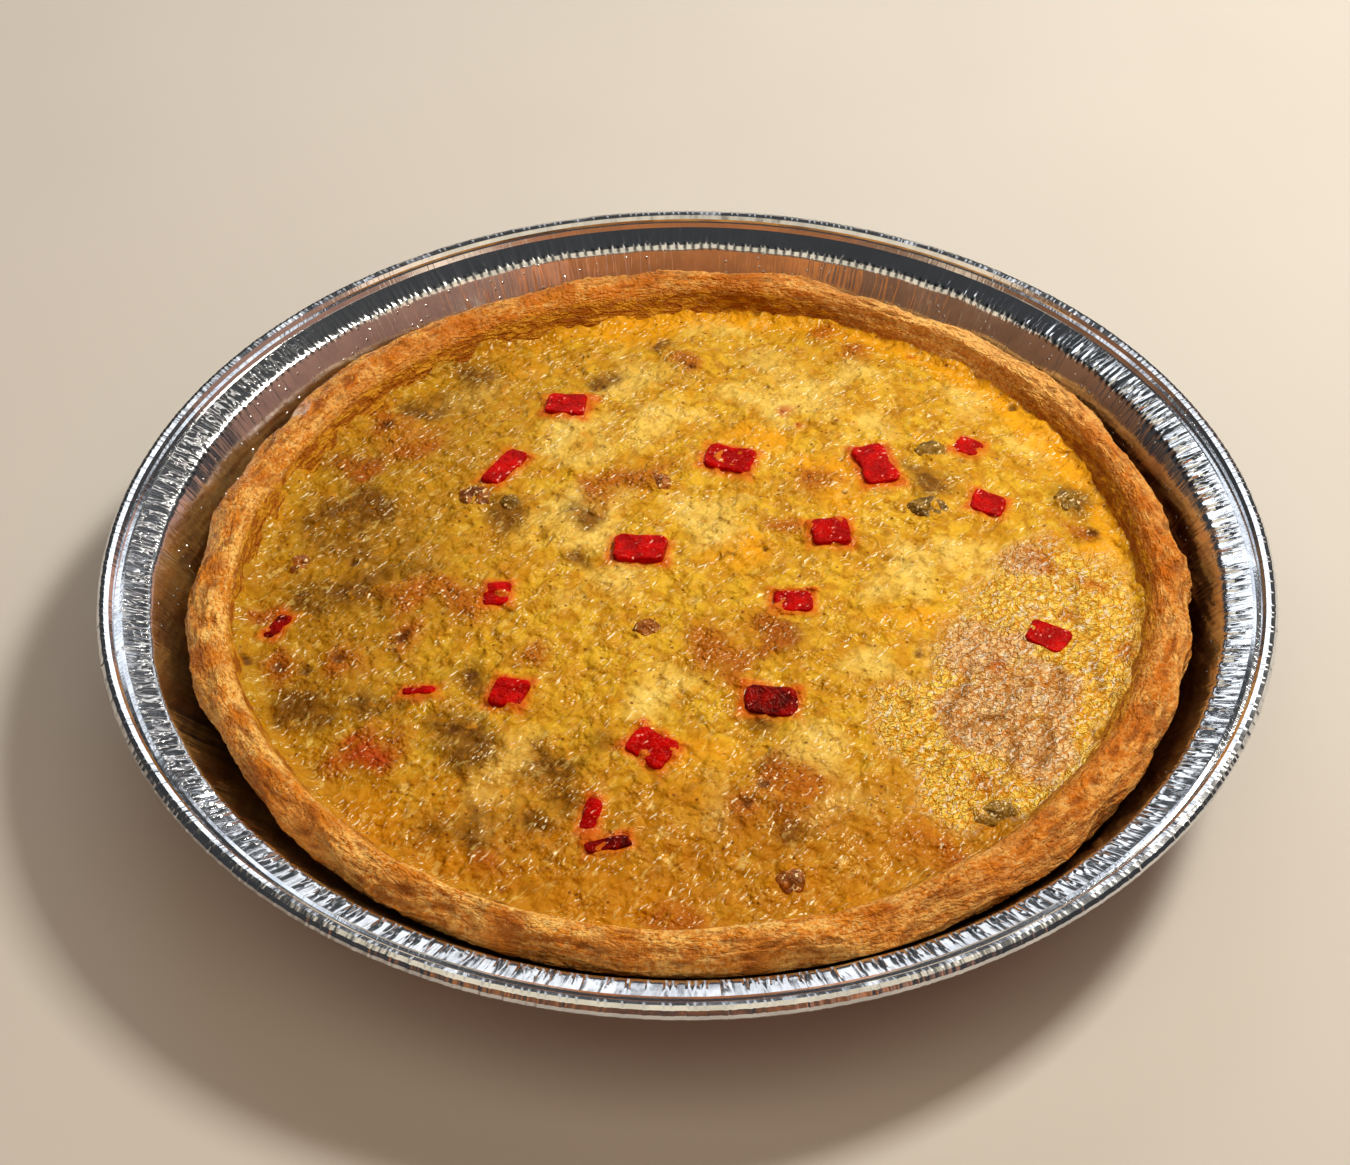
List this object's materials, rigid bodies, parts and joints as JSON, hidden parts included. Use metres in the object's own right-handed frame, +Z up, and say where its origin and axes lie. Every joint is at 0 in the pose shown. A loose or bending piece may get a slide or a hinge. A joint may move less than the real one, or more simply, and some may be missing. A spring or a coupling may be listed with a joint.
{
  "type": "tuna quiche in a foil tin",
  "caption": "Whole round savoury tart with a golden pastry rim and a domed baked cheese filling with red pepper dice, in its fluted foil tin.",
  "frame": {"origin": "middle of the tin's flat underside, on the table", "axes": "+Z up, +X to the right and +Y away from the usual view of the tart"},
  "size_m": [0.24, 0.24, 0.03],
  "materials": {
    "foil": "bright crimped foil",
    "pastry": "baked golden crust",
    "filling": "moist browned cheese",
    "pepper": "glossy cooked vegetable",
    "dark_pepper": "glossy dark cooked vegetable",
    "olive": "moist dark green",
    "seared": "moist seared brown"
  },
  "bodies": {
    "root": {"filling": "filling", "foil_tin": "foil", "olive_piece_01": "olive", "olive_piece_02": "olive", "olive_piece_03": "olive", "olive_piece_04": "olive", "olive_piece_05": "olive", "pastry_case": "pastry", "pepper_01": "pepper", "pepper_02": "pepper", "pepper_03": "pepper", "pepper_04": "pepper", "pepper_05": "pepper", "pepper_06": "pepper", "pepper_07": "pepper", "pepper_08": "pepper", "pepper_09": "pepper", "pepper_10": "pepper", "pepper_11": "pepper", "pepper_12": "dark_pepper", "pepper_13": "pepper", "pepper_14": "pepper", "pepper_15": "pepper", "pepper_16": "dark_pepper", "pepper_17": "pepper", "pepper_18": "dark_pepper", "seared_piece_01": "seared", "seared_piece_02": "seared", "seared_piece_03": "seared", "seared_piece_04": "seared", "seared_piece_05": "seared"}
  },
  "joints": []
}
